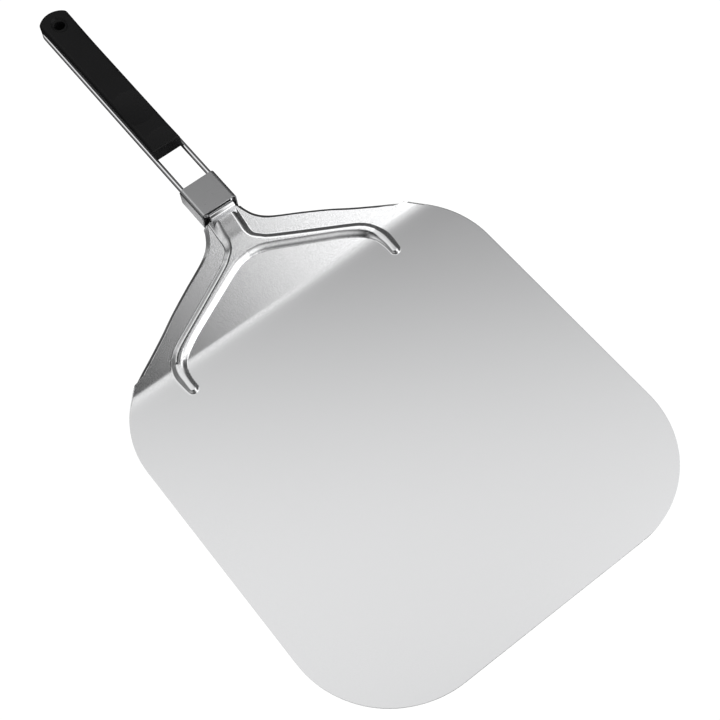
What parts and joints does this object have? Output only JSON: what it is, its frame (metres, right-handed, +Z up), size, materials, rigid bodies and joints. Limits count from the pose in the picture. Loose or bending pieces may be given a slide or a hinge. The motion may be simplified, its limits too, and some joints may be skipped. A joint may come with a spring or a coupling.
{
  "type": "pizza peel",
  "caption": "Pizza peel with a round-cornered steel blade, upswept neck, wire handle that folds over the blade, locking sleeve and black moulded grip.",
  "frame": {"origin": "middle of the flat part of the blade, on its underside", "axes": "+Z up from the blade, +Y from the blade's tip towards the handle, +X across the blade"},
  "size_m": [0.305, 0.6025, 0.054],
  "materials": {
    "blade_steel": "satin brushed sheet",
    "wire_steel": "bright polished wire",
    "sleeve_steel": "fine brushed",
    "grip_plastic": "fine matt texture",
    "screw_steel": "plain"
  },
  "bodies": {
    "blade_body": {"blade": "blade_steel"},
    "handle_body": {"wire_handle": "wire_steel", "grip_upper_half": "grip_plastic", "grip_lower_half": "grip_plastic", "grip_screws": "screw_steel"},
    "sleeve_body": {"locking_sleeve": "sleeve_steel"}
  },
  "joints": [
    {"name": "handle_fold", "type": "hinge", "parent": "blade_body", "child": "handle_body", "pos_m": [0, 0.2212, 0.0441], "axis": [1, 0, 0], "range_deg": [0, 186]},
    {"name": "sleeve_slide", "type": "slide", "parent": "handle_body", "child": "sleeve_body", "axis": [0, 1, 0], "range_m": [0, 0.037]}
  ],
  "couplings": [
    {"joint": "sleeve_slide", "follows": "handle_fold", "m_per_rad": 0.0113}
  ]
}
